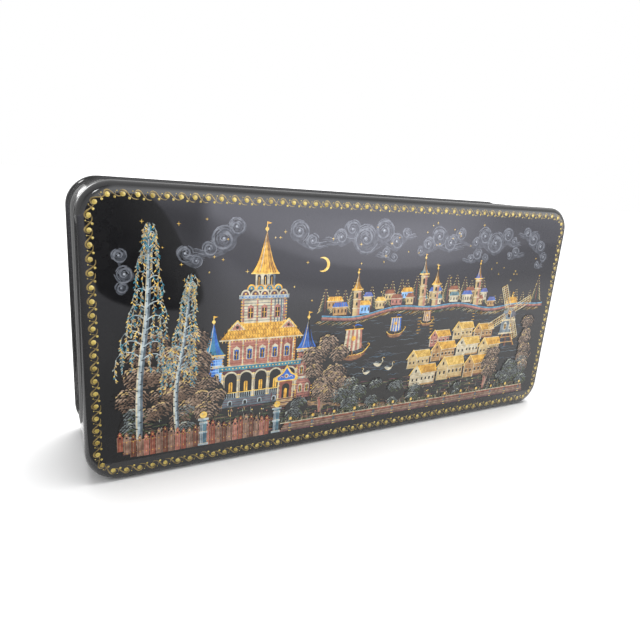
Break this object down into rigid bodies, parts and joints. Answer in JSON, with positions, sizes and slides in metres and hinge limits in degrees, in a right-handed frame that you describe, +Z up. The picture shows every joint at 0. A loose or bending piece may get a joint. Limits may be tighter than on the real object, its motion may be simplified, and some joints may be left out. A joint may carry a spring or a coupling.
{
  "type": "lacquer box",
  "caption": "Long shallow papier-mache lacquer box with rounded corners, a domed painted lid inside a gold scroll border, a locating collar and a flush knuckle hinge along its back edge.",
  "frame": {"origin": "middle of the footprint on the surface that the box stands on, with the box on its front long side as pictured", "axes": "+X along the box to the right seen from the lid, +Z up across its width towards the hinge, lid facing -Y, base board facing +Y"},
  "size_m": [0.2, 0.044, 0.092],
  "materials": {
    "black_lacquer": "gloss",
    "painted_lacquer": "gloss",
    "red_lacquer": "gloss",
    "pin_wire": "satin",
    "gold_ornament": "satin"
  },
  "bodies": {
    "box": {"base_board": "black_lacquer", "body_wall": "black_lacquer", "inner_sleeve": "red_lacquer", "body_knuckle_left": "black_lacquer", "body_knuckle_centre": "black_lacquer", "body_knuckle_right": "black_lacquer", "hinge_pin": "pin_wire", "pin_plug_left": "black_lacquer", "pin_plug_right": "black_lacquer"},
    "lid": {"lid_board": "painted_lacquer", "lid_rim": "black_lacquer", "lid_knuckle_left": "black_lacquer", "lid_knuckle_right": "black_lacquer"}
  },
  "joints": [
    {"name": "lid_hinge", "type": "hinge", "parent": "box", "child": "lid", "pos_m": [0, -0.0123, 0.09], "axis": [-1, 0, 0], "range_deg": [0, 100]}
  ]
}
